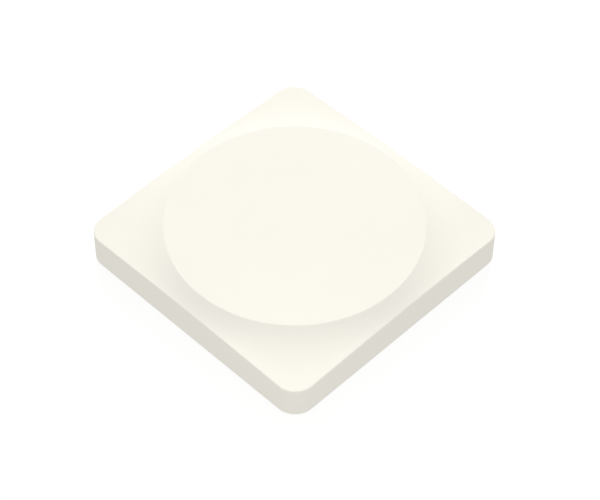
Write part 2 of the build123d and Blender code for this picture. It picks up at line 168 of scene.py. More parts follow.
# %% [markdown]
# ## A light tent
#
# The photograph shows a pale thing in white surroundings: light comes from all sides, and there is
# next to no shadow. So the world itself is the tent, nearly even above and below. One large soft
# lamp, far behind the button and 50 degrees from straight above, adds most of the rest, and a tiny
# weak one close in front lifts the nearest corner. What the camera, a reflection or clear plastic
# sees of the world is plain white.

# %% World and lamps
tent_above = 0.744
tent_below = 0.735
tent_blend = 0.3
world = bpy.data.worlds.new("tent")
world.use_nodes = True
scene.world = world
tent = world.node_tree
tent.nodes.clear()


def seen_directly(tree):
    """One where the ray comes from the camera, a reflection or clear plastic, otherwise none."""
    path = tree.nodes.new("ShaderNodeLightPath").outputs
    mirrored = work_out(tree, "MAXIMUM", path["Is Camera Ray"], path["Is Glossy Ray"])
    return work_out(tree, "MAXIMUM", mirrored, path["Is Transmission Ray"])


sky = tent.nodes.new("ShaderNodeTexCoord").outputs["Generated"]
upward = add_node(tent, "ShaderNodeSeparateXYZ", Vector=sky).outputs["Z"]
strength = ranged(tent, upward, tent_below, tent_above, -tent_blend, tent_blend)
lit = add_node(tent, "ShaderNodeBackground", Color=(1, 1, 1, 1), Strength=strength)
white = add_node(tent, "ShaderNodeBackground", Color=(1, 1, 1, 1), Strength=1.0)
chosen = fill_node(tent, "ShaderNodeMixShader", seen_directly(tent), lit.outputs[0], white.outputs[0])
add_node(tent, "ShaderNodeOutputWorld", Surface=chosen)


def round_lamp(name, tilt, towards_camera, distance, size, watts):
    """A round soft lamp in the camera's upright plane, so many degrees from straight above."""
    aside = sin(radians(tilt)) * (1 if towards_camera else -1)
    away = Vector((sin(view_azimuth) * aside, -cos(view_azimuth) * aside, cos(radians(tilt))))
    lamp = bpy.data.objects.new(name, bpy.data.lights.new(name, "AREA"))
    lamp.data.shape = "DISK"
    lamp.data.size = size
    lamp.data.energy = watts
    lamp.location = away * distance
    lamp.rotation_mode = "QUATERNION"
    lamp.rotation_quaternion = away.to_track_quat("Z", "Y")
    lamp.visible_camera = False
    scene.collection.objects.link(lamp)
    print(name, "of", watts, "watts at", distance, "m")


round_lamp("key_lamp", tilt=50, towards_camera=False, distance=0.9, size=0.5, watts=3.42)
round_lamp("fill_lamp", tilt=50, towards_camera=True, distance=0.1, size=0.05, watts=0.0052)

# %% [markdown]
# ## The floor
#
# The floor is a plain white sheet. The camera sees it as nearly white by itself, with a share
# that light and shadow still change, so the button's soft shadow stays on it. It is seen from
# above only: from below it is clear, because the battery door can be looked at from there, and
# the tent's light reaches the underside as if the button were held up.

# %% Lay the floor
floor_share = 0.25
floor_glow = 0.80
floor_plain = 0.8
floor_half = 8.0
floor_drop = 0.02 * MM
floor_material, tree, _ = new_material("floor_white")


def matt_white(amount):
    """A matt sheet in the floor's tree, as white as the amount says."""
    return add_node(tree, "ShaderNodeBsdfDiffuse", Color=(amount, amount, amount, 1)).outputs[0]


glow = add_node(tree, "ShaderNodeEmission", Color=(1, 1, 1, 1), Strength=floor_glow)
glowing = fill_node(tree, "ShaderNodeAddShader", matt_white(floor_share), glow.outputs[0])
upper = fill_node(tree, "ShaderNodeMixShader", seen_directly(tree), matt_white(floor_plain), glowing)
from_below = tree.nodes.new("ShaderNodeNewGeometry").outputs["Backfacing"]
clear = tree.nodes.new("ShaderNodeBsdfTransparent").outputs[0]
one_sided = fill_node(tree, "ShaderNodeMixShader", from_below, upper, clear)
add_node(tree, "ShaderNodeOutputMaterial", Surface=one_sided)

floor_mesh = bpy.data.meshes.new("floor")
corner_signs = ((-1, -1), (1, -1), (1, 1), (-1, 1))
corners = [(x * floor_half, y * floor_half, -floor_drop) for x, y in corner_signs]
floor_mesh.from_pydata(corners, [], [(0, 1, 2, 3)])
floor_mesh.materials.append(floor_material)
floor = bpy.data.objects.new("floor", floor_mesh)
floor.visible_diffuse = False
floor.visible_shadow = False
scene.collection.objects.link(floor)
print("floor of", 2 * floor_half, "m, seen from above")

# %% [markdown]
# ## Finishes: plastics and rubbers
#
# Every moulding here has the same three things. Its colour drifts a little, because pigment and
# flow are never quite even. Its mould was textured, so it has a fine grain of bumps. Its gloss
# drifts with handling. The helper takes its sizes in millimetres and turns them into scales,
# because noise is scaled in Object coordinates, which are metres.

# %% Helpers for finishes
def drifting(tree, place, size_mm, detail=2.0, stretch=(1, 1, 1)):
    """Soft noise whose features are about so many millimetres across."""
    mapped = add_node(tree, "ShaderNodeMapping", Vector=place, Scale=stretch).outputs[0]
    scale = 1 / (size_mm * MM)
    return add_node(tree, "ShaderNodeTexNoise", Vector=mapped, Scale=scale, Detail=detail).outputs[0]


def shaded(colour, factor):
    """The same colour, lighter or darker."""
    return (*(min(part * factor, 1.0) for part in colour), 1)


def tinted(tree, value, colour, first, second):
    """A colour that goes from one lightness to another, by a value from none to one."""
    node = tree.nodes.new("ShaderNodeMix")
    node.data_type = "RGBA"
    plug(tree, node.inputs[0], value)
    node.inputs[6].default_value = shaded(colour, first)
    node.inputs[7].default_value = shaded(colour, second)
    return node.outputs[2]


def bumped(tree, height, depth_mm):
    """A bump of a real depth."""
    bump = add_node(tree, "ShaderNodeBump", Height=height, Strength=1.0, Distance=depth_mm * MM)
    return bump.outputs[0]


def principled(tree, **inputs):
    """The last step of every finish: one shader with all its inputs, joined to the output."""
    shader = add_node(tree, "ShaderNodeBsdfPrincipled", **inputs)
    add_node(tree, "ShaderNodeOutputMaterial", Surface=shader.outputs[0])


def moulded(name, colour, roughness, grain_mm, grain_depth_mm, drift, **sockets):
    """A textured moulding: drifting colour and gloss over a fine grain."""
    flow_mm = 14.0
    handling_mm = 5.0
    gloss_drift = 0.04
    material, tree, place = new_material(name)
    flow = ranged(tree, drifting(tree, place, flow_mm), 0.0, 1.0)
    handling = drifting(tree, place, handling_mm, 4.0)
    grain = drifting(tree, place, grain_mm, 3.0)
    principled(
        tree,
        Base_Color=tinted(tree, flow, colour, 1 - drift, 1 + drift),
        Roughness=ranged(tree, handling, roughness - gloss_drift, roughness + gloss_drift),
        Normal=bumped(tree, grain, grain_depth_mm),
        **sockets,
    )
    return material


# %% Mix the plastics and rubbers
# Slot: name, colour, roughness, the grain's size and depth in mm, how much the colour drifts
mouldings = {
    "cap_white": ("soft_touch_white", (0.925, 0.898, 0.818), 0.70, 0.22, 0.0016, 0.004),
    "carrier_grey": ("moulded_grey", (0.57, 0.56, 0.51), 0.48, 0.5, 0.004, 0.02),
    "silicone": ("silicone_grey", (0.27, 0.27, 0.26), 0.70, 0.3, 0.004, 0.04),
    "black_nylon": ("black_nylon", (0.018, 0.018, 0.019), 0.45, 0.12, 0.004, 0.10),
    "plunger_nylon": ("natural_nylon", (0.55, 0.50, 0.40), 0.40, 0.12, 0.003, 0.03),
    "gasket_nylon": ("gasket_nylon", (0.68, 0.66, 0.60), 0.40, 0.10, 0.002, 0.03),
    "chip_epoxy": ("chip_epoxy", (0.022, 0.022, 0.024), 0.55, 0.05, 0.004, 0.15),
    "antenna_ceramic": ("white_ceramic", (0.70, 0.70, 0.66), 0.35, 0.06, 0.002, 0.02),
    "capacitor_epoxy": ("amber_epoxy", (0.57, 0.24, 0.022), 0.38, 0.15, 0.003, 0.06),
    "capacitor_ceramic": ("brown_ceramic", (0.27, 0.15, 0.075), 0.42, 0.05, 0.003, 0.08),
    "led_resin": ("clear_resin", (0.80, 0.80, 0.62), 0.16, 0.4, 0.001, 0.02),
}
own_sockets = {"cap_white": {"Specular_IOR_Level": 0.18}, "led_resin": {"Coat_Weight": 0.5}}
finishes = {slot: moulded(*look, **own_sockets.get(slot, {})) for slot, look in mouldings.items()}
print(len(finishes), "mouldings")

# %% [markdown]
# ## The cap as a rule
#
# On the real button the cap is one moulding. Seen from above its outline is a rounded square.
# From the edge of the plateau the surface falls in a hollow curve: steep and short at the middle of
# each side, long and gentle towards a corner. That is a rule of direction and distance, so a Geometry
# Nodes tree can hold it, and its sizes stay open as named inputs.
#
# The tree gets a chart: closed rings of points, each of which knows its direction, its circle, how
# far out it lies and whether it is on the flare. The rule then gives every point its place. The
# rings crowd where the form is tight, at the plateau's edge and round the rim.

# %% Sizes of the cap, as in the part's source
half = 30.0 * MM
plan_corner = 4.5 * MM
disc_radius = 26.45 * MM
disc_top = 10.64 * MM
drop_at_sides = 2.09 * MM
drop_at_corners = 2.54 * MM
power_at_sides = 1.25
power_at_corners = 3.0
rim_rounding = 0.25 * MM
disc_rounding = 0.16 * MM
skirt_bottom = 0.8 * MM
skirt_rounding = 0.25 * MM
skirt_wall = 1.3 * MM
hollow_ceiling = 7.10 * MM
dome_hollow_radius = 25.15 * MM
dome_hollow_top = 9.64 * MM
print("cap", 2 * half / MM, "mm wide, flare", round((half - disc_radius) / MM, 2), "mm at the sides")


# %% Directions of the chart: wide steps on the sides, narrow ones round the corners
def chart_directions(half_side, corner, side_steps=44, corner_steps=22):
    """Directions all the way round, crowded where the outline turns."""
    corner_centre = half_side - corner
    quarter = []
    side_reach = atan2(corner_centre, half_side)
    for step in range(side_steps):
        quarter.append(-side_reach + 2 * side_reach * step / side_steps)
    for step in range(corner_steps):
        turn = pi / 2 * step / corner_steps
        quarter.append(atan2(corner_centre + corner * sin(turn), corner_centre + corner * cos(turn)))
    return [angle + pi / 2 * turn for turn in range(4) for angle in quarter]


directions = chart_directions(half, plan_corner)
print(len(directions), "directions")

# %% Rings of the chart, from the middle of the plateau out, down, and back in underneath
ON_FLARE = -1.0
plateau_shares = (0.0, 0.06, 0.15, 0.3, 0.45, 0.6, 0.75, 0.87, 0.95, 0.985)
edge_steps_mm = (-0.2, -0.14, -0.1, -0.07, -0.04, -0.02, 0, 0.02, 0.04, 0.07, 0.1, 0.14, 0.2)
flare_steps = 34
flare_crowding = 1.15
wall_levels_mm = (7.45, 6.5, 4.5, 2.5, 1.3)
fillet_steps = 9
rings = []


def add_ring(circle, outward=0.0, inset=0.0, height=ON_FLARE):
    """One ring: on a circle or out towards the outline, on the flare or at a level."""
    rings.append((circle, outward, inset, height))


def quarter_arc(steps):
    """The angles of a quarter circle, with both ends."""
    return [pi / 2 * step / steps for step in range(steps + 1)]


for share in plateau_shares:
    add_ring(disc_radius * share)
for step in edge_steps_mm:
    add_ring(disc_radius + step * MM)
for step in range(1, flare_steps + 1):
    add_ring(disc_radius + edge_steps_mm[-1] * MM, (step / flare_steps) ** flare_crowding, rim_rounding)
for turn in quarter_arc(fillet_steps)[1:]:
    add_ring(disc_radius, 1.0, rim_rounding * (1 - sin(turn)))
for level in wall_levels_mm:
    add_ring(disc_radius, 1.0, 0.0, level * MM)
for turn in quarter_arc(fillet_steps):
    drawn_in = skirt_rounding * (1 - cos(turn))
    add_ring(disc_radius, 1.0, drawn_in, skirt_bottom + skirt_rounding * (1 - sin(turn)))
add_ring(disc_radius, 1.0, skirt_wall, skirt_bottom)
add_ring(disc_radius, 1.0, skirt_wall, hollow_ceiling)
add_ring(dome_hollow_radius, 0.0, 0.0, hollow_ceiling)
add_ring(dome_hollow_radius, 0.0, 0.0, dome_hollow_top)
add_ring(0.0, 0.0, 0.0, dome_hollow_top)
print(len(rings), "rings")

# %% Lay the chart out as a mesh whose points carry the ring's facts
FACTS = ("direction", "circle", "outward", "inset", "height")


def ring_faces(ring_count, spokes, loop=False):
    """Faces between neighbouring rings, and from the last back to the first where they loop."""
    faces = []
    for ring in range(ring_count if loop else ring_count - 1):
        low, high = ring * spokes, (ring + 1) % ring_count * spokes
        for spoke in range(spokes):
            following = (spoke + 1) % spokes
            faces.append((low + spoke, high + spoke, high + following, low + following))
    return faces


def chart_mesh(name, directions, rings, loop=False):
    """Rings joined by faces, with what each point knows stored on it."""
    spokes = len(directions)
    known = [(angle, *ring) for ring in rings for angle in directions]
    points = [(facts[0], index // spokes, 0) for index, facts in enumerate(known)]
    mesh = bpy.data.meshes.new(name)
    mesh.from_pydata(points, [], ring_faces(len(rings), spokes, loop))
    for column, label in enumerate(FACTS):
        attribute = mesh.attributes.new(label, "FLOAT", "POINT")
        attribute.data.foreach_set("value", [facts[column] for facts in known])
    return mesh


cap_chart = chart_mesh("cap_chart", directions, rings)
print("chart of", len(cap_chart.vertices), "points")


# %% Helpers for geometry trees
def new_rule(name, sizes, counts=()):
    """A geometry tree with named sizes, counts and a material, and its two ends."""
    tree = bpy.data.node_groups.new(name, "GeometryNodeTree")
    inputs = [("Geometry", "Geometry")]
    inputs += [(size, "Float") for size in sizes]
    inputs += [(count, "Int") for count in counts]
    inputs += [("Material", "Material")]
    for label, kind in inputs:
        tree.interface.new_socket(label, in_out="INPUT", socket_type="NodeSocket" + kind)
    tree.interface.new_socket("Geometry", in_out="OUTPUT", socket_type="NodeSocketGeometry")
    given = tree.nodes.new("NodeGroupInput").outputs
    end = tree.nodes.new("NodeGroupOutput").inputs[0]
    return tree, given, end


def finish_rule(tree, geometry, material, end):
    """The last two steps of every rule: make the copies real and give them their finish."""
    real = add_node(tree, "GeometryNodeRealizeInstances", Geometry=geometry)
    dressed = add_node(tree, "GeometryNodeSetMaterial", Geometry=real.outputs[0], Material=material)
    plug(tree, end, dressed.outputs[0])
    print("the rule", tree.name, "has", len(tree.nodes), "nodes")


# %% Helpers for finished pieces
weld_distance = 0.0005 * MM
sharp_angle = radians(30)


def close_up(mesh):
    """Weld the points that meet, turn the faces outwards and count the edges left open."""
    closing = bmesh.new()
    closing.from_mesh(mesh)
    bmesh.ops.remove_doubles(closing, verts=closing.verts, dist=weld_distance)
    bmesh.ops.recalc_face_normals(closing, faces=closing.faces)
    open_edges = sum(not edge.is_manifold for edge in closing.edges)
    closing.to_mesh(mesh)
    closing.free()
    return open_edges


def new_piece(name, mesh):
    """An object at the origin for a finished mesh, smooth but for its real edges."""
    mesh.name = name
    open_edges = close_up(mesh)
    mesh.shade_smooth()
    mesh.set_sharp_from_angle(angle=sharp_angle)
    piece = bpy.data.objects.new(name, mesh)
    scene.collection.objects.link(piece)
    print(name + ":", len(mesh.polygons), "faces,", open_edges, "open edges")
    return piece


def run_rule(name, tree, seed_mesh, **values):
    """Run a tree once on a seed mesh and keep what it makes as a plain mesh object."""
    seed = bpy.data.objects.new(name + "_seed", seed_mesh)
    scene.collection.objects.link(seed)
    modifier = seed.modifiers.new("rule", "NODES")
    modifier.node_group = tree
    for item in tree.interface.items_tree:
        if item.item_type == "SOCKET" and item.in_out == "INPUT" and item.name != "Geometry":
            modifier[item.identifier] = values[item.name.replace(" ", "_")]
    graph = bpy.context.evaluated_depsgraph_get()
    mesh = bpy.data.meshes.new_from_object(seed.evaluated_get(graph))
    bpy.data.objects.remove(seed)
    return new_piece(name, mesh)


def settle(piece, body, slot, *nodes):
    """Say which body a piece rides on and the nodes it stands for. The slot is not used."""
    if nodes:
        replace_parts(piece, *nodes)
    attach(piece, body)


# %% The rule of the flared cap
quarter_turn = pi / 2
all_the_way_out = 0.999
merge_distance = 0.001 * MM
cap_sizes = (
    "Half Side", "Plan Corner", "Disc Radius", "Disc Top", "Drop At Sides", "Drop At Corners",
    "Power At Sides", "Power At Corners", "Rim Rounding", "Disc Rounding",
)
cap_rule, given, cap_end = new_rule("flared_cap", cap_sizes)


def fact(name):
    """What a chart point knows about itself."""
    return add_node(cap_rule, "GeometryNodeInputNamedAttribute", Name=name).outputs["Attribute"]


def calc(operation, *values):
    """Arithmetic in the cap's tree."""
    return work_out(cap_rule, operation, *values)


def reach_to_outline(folded, inset):
    """How far the rounded square is from the middle in a direction, drawn in by an inset."""
    side = calc("SUBTRACT", given["Half Side"], inset)
    corner = calc("SUBTRACT", given["Plan Corner"], inset)
    centre = calc("SUBTRACT", given["Half Side"], given["Plan Corner"])
    cosine, sine = calc("COSINE", folded), calc("SINE", folded)
    on_side = calc("DIVIDE", side, cosine)
    across = calc("MULTIPLY", centre, calc("SUBTRACT", cosine, sine))
    along = calc("MULTIPLY", centre, calc("ADD", cosine, sine))
    squared = calc("SUBTRACT", calc("MULTIPLY", corner, corner), calc("MULTIPLY", across, across))
    on_corner = calc("ADD", along, calc("SQRT", calc("MAXIMUM", squared, 0.0)))
    past_side = calc("GREATER_THAN", calc("MULTIPLY", side, calc("TANGENT", folded)), centre)
    return calc("ADD", on_side, calc("MULTIPLY", past_side, calc("SUBTRACT", on_corner, on_side)))


def mixed(share, first, second):
    """A share of the way from one number to another."""
    return calc("ADD", first, calc("MULTIPLY", share, calc("SUBTRACT", second, first)))


direction = fact("direction")
shifted = calc("FLOORED_MODULO", calc("ADD", direction, quarter_turn / 2), quarter_turn)
folded = calc("ABSOLUTE", calc("SUBTRACT", shifted, quarter_turn / 2))
inset = fact("inset")
outline = reach_to_outline(folded, 0.0)
distance = mixed(fact("outward"), fact("circle"), reach_to_outline(folded, inset))

corner_reach = reach_to_outline(quarter_turn / 2, 0.0)
from_side = calc("SUBTRACT", outline, given["Half Side"])
towards_corner = calc("DIVIDE", from_side, calc("SUBTRACT", corner_reach, given["Half Side"]))
drop = mixed(towards_corner, given["Drop At Sides"], given["Drop At Corners"])
power = mixed(towards_corner, given["Power At Sides"], given["Power At Corners"])

beyond = calc("SUBTRACT", distance, given["Disc Radius"])
eased = calc("SMOOTH_MAX", beyond, 0.0, given["Disc Rounding"])
share = calc("DIVIDE", eased, calc("SUBTRACT", outline, given["Disc Radius"]))
left = calc("MAXIMUM", calc("SUBTRACT", 1.0, share), 0.0)
flare = calc("SUBTRACT", 1.0, calc("POWER", left, power))
on_flare = calc("SUBTRACT", given["Disc Top"], calc("MULTIPLY", drop, flare))

rounding = given["Rim Rounding"]
short_of = calc("MAXIMUM", calc("SUBTRACT", rounding, inset), 0.0)
radius_squared = calc("MULTIPLY", rounding, rounding)
quadrant = calc("SQRT", calc("SUBTRACT", radius_squared, calc("MULTIPLY", short_of, short_of)))
at_rim = calc("GREATER_THAN", fact("outward"), all_the_way_out)
rim_drop = calc("MULTIPLY", at_rim, calc("SUBTRACT", rounding, quadrant))
free_height = calc("SUBTRACT", on_flare, rim_drop)
fixed = calc("GREATER_THAN", fact("height"), ON_FLARE / 2)
height = mixed(fixed, free_height, fact("height"))

spot = add_node(
    cap_rule,
    "ShaderNodeCombineXYZ",
    X=calc("MULTIPLY", distance, calc("COSINE", direction)),
    Y=calc("MULTIPLY", distance, calc("SINE", direction)),
    Z=height,
)
placed = add_node(cap_rule, "GeometryNodeSetPosition", Geometry=given["Geometry"], Position=spot.outputs[0])
closed = add_node(
    cap_rule, "GeometryNodeMergeByDistance", Geometry=placed.outputs[0], Distance=merge_distance
)
finish_rule(cap_rule, closed.outputs[0], given["Material"], cap_end)

# %% Make the cap
flare_sizes = {
    "Disc_Radius": disc_radius,
    "Disc_Top": disc_top,
    "Drop_At_Sides": drop_at_sides,
    "Drop_At_Corners": drop_at_corners,
    "Power_At_Sides": power_at_sides,
    "Power_At_Corners": power_at_corners,
    "Rim_Rounding": rim_rounding,
    "Disc_Rounding": disc_rounding,
}
cap = run_rule(
    "soft_touch_cap",
    cap_rule,
    cap_chart,
    Half_Side=half,
    Plan_Corner=plan_corner,
    Material=finishes["cap_white"],
    **flare_sizes,
)
settle(cap, "cap", "cap_white", "top_cover")

# %% [markdown]
# ## The foam pad underneath
#
# The button rests on a thin pad of closed-cell foam with an adhesive face, die cut to a rounded
# square with a round hole for the battery door. The knife squeezes foam as it cuts, so its walls
# swell a little and its edges are soft. The same rule of direction and distance draws it, with
# every ring at a level of its own. Its cells are too small to model, so its material has them.

# %% Foam finish
def cells(tree, place, size_mm):
    """How far a point is from the middle of its cell, with cells of so many millimetres."""
    voronoi = add_node(tree, "ShaderNodeTexVoronoi", Vector=place, Scale=1 / (size_mm * MM))
    return voronoi.outputs["Distance"]


def foam(name, colour):
    """Closed-cell foam: small round cells under a thin skin, with painted shade towards each cell's low
    edge.
    """
    cell_mm = 0.22
    cell_depth_mm = 0.03
    dust_mm = 1.5
    material, tree, place = new_material(name)
    hollows = cells(tree, place, cell_mm)
    dust = drifting(tree, place, dust_mm, 4.0)
    # The colour is painted darker towards the low edge of each cell, as painted shade in the hollows, plus
    # a random drift of dust.
    painted_hollow_shade_and_dust = work_out(tree, "ADD", ranged(tree, hollows, 0.0, 0.8, 0.0, 0.9), ranged(tree, dust, 0.0, 0.2))
    principled(
        tree,
        Base_Color=tinted(tree, painted_hollow_shade_and_dust, colour, 1.06, 0.82),
        Roughness=0.9,
        Normal=bumped(tree, work_out(tree, "SUBTRACT", 1.0, hollows), cell_depth_mm),
    )
    return material


finishes["foam_pad"] = foam("grey_foam", (0.44, 0.44, 0.42))
print(len(finishes), "finishes with the foam")

# %% Cut the foam pad
pad_half = 24.0 * MM
pad_corner = 7.0 * MM
pad_hole = 15.4 * MM
pad_thickness = 0.8 * MM
pad_swell = 0.06 * MM
pad_edge = 0.14 * MM


def pad_rings():
    """Rings round the pad's section: up the hole's wall, out over the top, down and back in."""
    arc = quarter_arc(5)
    shares = (0.2, 0.4, 0.6, 0.8)
    made = []
    for turn in arc:
        made.append((pad_hole + pad_edge * (1 - sin(turn)), 0.0, 0.0, pad_edge * (1 - cos(turn))))
    made.append((pad_hole - pad_swell, 0.0, 0.0, pad_thickness / 2))
    for turn in arc:
        height = pad_thickness - pad_edge * (1 - sin(turn))
        made.append((pad_hole + pad_edge * (1 - cos(turn)), 0.0, 0.0, height))
    for share in shares:
        made.append((pad_hole, share, pad_edge, pad_thickness))
    for turn in arc:
        made.append((pad_hole, 1.0, pad_edge * (1 - sin(turn)), pad_thickness - pad_edge * (1 - cos(turn))))
    made.append((pad_hole, 1.0, -pad_swell, pad_thickness / 2))
    for turn in arc:
        made.append((pad_hole, 1.0, pad_edge * (1 - cos(turn)), pad_edge * (1 - sin(turn))))
    for share in shares[::-1]:
        made.append((pad_hole, share, pad_edge, 0.0))
    return made


pad = run_rule(
    "foam_pad",
    cap_rule,
    chart_mesh("pad_chart", chart_directions(pad_half, pad_corner, 24, 14), pad_rings(), loop=True),
    Half_Side=pad_half,
    Plan_Corner=pad_corner,
    Material=finishes["foam_pad"],
    **flare_sizes,
)
settle(pad, "base", "foam_pad", "mounting_pad")

# %% [markdown]
# ## Turned and pressed round pieces
#
# The coin cell, the rubber buttons, the snap dome and the screws are all round. A lathe makes
# such pieces from half a section: a list of corners, each a distance from the axis, a height and
# the radius it is rounded by, all in millimetres. Sections that start and end on the axis close by
# themselves.

# %% A lathe for rounded sections
def soften(corners, steps=4, loop=False):
    """Replace each corner of a section by an arc of its own radius."""
    made = []
    count = len(corners)
    for index, (across, height, radius) in enumerate(corners):
        here = Vector((across, height))
        inner = loop or 0 < index < count - 1
        if radius <= 0 or not inner:
            made.append(here)
            continue
        before = (Vector(corners[index - 1][:2]) - here).normalized()
        after = (Vector(corners[(index + 1) % count][:2]) - here).normalized()
        opening = before.angle(after)
        run = radius / tan(opening / 2)
        centre = here + (before + after).normalized() * radius / sin(opening / 2)
        start = here + before * run - centre
        turn = start.angle_signed(here + after * run - centre)
        for step in range(steps + 1):
            swing = Matrix.Rotation(-turn * step / steps, 2)
            made.append(centre + swing @ start)
    return made


def lathe_mesh(name, corners, spokes=64, loop=False, steps=4):
    """Turn a section round an upright axis."""
    section = [point * MM for point in soften(corners, steps, loop)]
    points = []
    for across, height in section:
        for spoke in range(spokes):
            angle = 2 * pi * spoke / spokes
            points.append((across * cos(angle), across * sin(angle), height))
    mesh = bpy.data.meshes.new(name)
    mesh.from_pydata(points, [], ring_faces(len(section), spokes, loop))
    return mesh


def turned(name, corners, finish, **settings):
    """A finished lathe piece."""
    mesh = lathe_mesh(name, corners, **settings)
    mesh.materials.append(finishes[finish])
    return new_piece(name, mesh)


# %% [markdown]
# ## Finishes: metals
#
# Metal is all reflection, so its finish is in its roughness. Drawn wire and rolled strip have
# fine lines along them, plated caps have turned rings, and dipped tin freezes in soft patches.
# Each is noise, stretched or bent to suit.

# %% Mix the metals
def metal(name, colour, roughness, line_mm, stretch=(1, 1, 1), spread=0.08, depth_mm=0.0008, lathed=False):
    """Metal whose roughness and bump follow fine lines, patches or turned rings."""
    patch_mm = 3.0
    material, tree, place = new_material(name)
    if lathed:
        parts = add_node(tree, "ShaderNodeSeparateXYZ", Vector=place).outputs
        squared = [work_out(tree, "MULTIPLY", parts[axis], parts[axis]) for axis in "XY"]
        from_axis = work_out(tree, "SQRT", work_out(tree, "ADD", *squared))
        place = add_node(tree, "ShaderNodeCombineXYZ", X=from_axis, Y=0.0, Z=parts["Z"]).outputs[0]
    lines = drifting(tree, place, line_mm, 4.0, stretch)
    patches = ranged(tree, drifting(tree, place, patch_mm), 0.0, 1.0)
    principled(
        tree,
        Base_Color=tinted(tree, patches, colour, 0.94, 1.04),
        Metallic=1.0,
        Roughness=ranged(tree, lines, roughness - spread, roughness + spread),
        Normal=bumped(tree, lines, depth_mm),
    )
    return material


finishes["plated_steel"] = metal("nickel_plate", (0.62, 0.60, 0.55), 0.28, 0.15)
finishes["spring_steel"] = metal("drawn_steel", (0.50, 0.49, 0.47), 0.32, 0.05, stretch=(0.15, 1, 1))
finishes["tinned_metal"] = metal("bright_tin", (0.66, 0.66, 0.65), 0.36, 0.6, spread=0.12, depth_mm=0.002)
finishes["cell_steel"] = metal("turned_nickel", (0.64, 0.63, 0.60), 0.26, 0.10, lathed=True)
print(len(finishes), "finishes with the metals")

# %% [markdown]
# ## Coin cell
#
# A coin cell is a steel cup, a nylon gasket and a lid. The cup's edge is rolled in over the
# gasket, which is the fine bright lip round every such cell, and both steel parts are drawn, so
# their corners are round. The cell lies with its cup towards the door.

# %% Draw the cell
cell_spokes = 120
cell_cup = (
    (0, 1.6, 0), (10.0, 1.6, 0.3), (10.0, 4.55, 0.22), (9.72, 4.55, 0.05), (9.7, 1.9, 0.1), (0, 1.9, 0),
)
cup = turned("cell_cup", cell_cup, "cell_steel", spokes=cell_spokes)
settle(cup, "base", "cell_steel", "battery_can")
cell_gasket = ((9.7, 1.9, 0.05), (9.7, 4.65, 0.04), (9.2, 4.65, 0.04), (9.2, 1.9, 0.05))
gasket = turned("cell_gasket", cell_gasket, "gasket_nylon", spokes=cell_spokes, loop=True)
settle(gasket, "base", "gasket_nylon", "battery_gasket")
cell_lid = ((0, 4.8, 0), (8.9, 4.8, 0.25), (9.2, 4.5, 0.15), (9.2, 1.9, 0.05), (0, 1.9, 0))
lid = turned("cell_lid", cell_lid, "cell_steel", spokes=cell_spokes)
settle(lid, "base", "cell_steel", "battery_cap")

# %% [markdown]
# ## Rubber buttons and copies on a circle
#
# Four rubber stops sit in bosses, one in the middle of each side, and four screws hold the
# board. Things that stand evenly on a circle are one rule: a circle of points, a copy on each.

# %% The rule of copies on a circle
def stand_copies(tree, given, end, spots, **move):
    """Move the spots into place, stand a copy on each and finish the rule."""
    moved = add_node(tree, "GeometryNodeTransform", Geometry=spots, **move)
    copies = add_node(
        tree, "GeometryNodeInstanceOnPoints", Points=moved.outputs[0], Instance=given["Geometry"]
    )
    finish_rule(tree, copies.outputs[0], given["Material"], end)


circle_rule, given, circle_end = new_rule(
    "copies_on_a_circle", ("Circle Radius", "Start Angle", "Height"), ("Count",)
)
spots = add_node(
    circle_rule, "GeometryNodeMeshCircle", Vertices=given["Count"], Radius=given["Circle Radius"]
)
lifted =add_node(circle_rule, "ShaderNodeCombineXYZ", Z=given["Height"])
swung = add_node(circle_rule, "ShaderNodeCombineXYZ", Z=given["Start Angle"])
stand_copies(
    circle_rule,
    given,
    circle_end,
    spots.outputs[0],
    Translation=lifted.outputs[0],
    Rotation=swung.outputs[0],
)

# %% Rubber stops and the rubber pad over the switch
stop_circle = 25.3
stop_section = (
    (0, 4.28, 0), (0.6, 4.28, 0.1), (0.6, 5.48, 0), (0.95, 5.48, 0.05), (0.95, 5.68, 0.09), (0, 5.68, 0),
)
stops = run_rule(
    "rubber_stops",
    circle_rule,
    lathe_mesh("stop", stop_section, spokes=28),
    Circle_Radius=stop_circle * MM,
    Start_Angle=0.0,
    Height=0.0,
    Count=4,
    Material=finishes["silicone"],
)
settle(stops, "base", "silicone", *(f"stop_bumper_{side}" for side in ("right", "rear", "left", "front")))
pusher_section = ((0, 8.4, 0), (3.0, 8.4, 0.16), (3.0, 8.99, 0.06), (0, 8.99, 0))
pusher = turned("rubber_pusher", pusher_section, "silicone")
settle(pusher, "cap", "silicone", "actuator_pad")

# %% [markdown]
# ## Screws
#
# The screws are small pan heads with a cross recess. The head and the threaded shank are turned,
# the cross is cut out of the head with a Boolean, and the thread is drawn as closed ridges,
# because a real helix this small looks no different.

# %% Turn one screw and stand four on the board
board_top = 6.5
screw_top = 7.3
screw_circle = 18.6


def screw_section():
    """Half a section of a screw: shank with ridges, then the domed head."""
    pitch = 0.35
    ridges = 7
    first_ridge = 2.95
    corners = [(0, 2.7, 0), (0.5, 2.7, 0)]
    for ridge in range(ridges):
        low = first_ridge + pitch * ridge
        corners += [(0.66, low, 0), (0.85, low + pitch / 2, 0.02)]
    corners += [(0.66, 5.6, 0.05), (0.85, 5.72, 0.05), (0.85, board_top, 0.04)]
    corners += [(1.75, board_top, 0.06), (1.75, 6.86, 0.3), (0.7, screw_top, 0.9), (0, screw_top, 0)]
    return corners


def cross_cutter():
    """Two crossed blocks that cut the recess."""
    length = 2.0
    width = 0.45
    depth = 0.4
    cutter = bmesh.new()
    for wide, deep in ((length, width), (width, length)):
        for vert in bmesh.ops.create_cube(cutter, size=1.0)["verts"]:
            height = vert.co.z * 2 * depth + screw_top
            vert.co = Vector((vert.co.x * wide, vert.co.y * deep, height)) * MM
    mesh = bpy.data.meshes.new("cross_cutter")
    cutter.to_mesh(mesh)
    cutter.free()
    return mesh


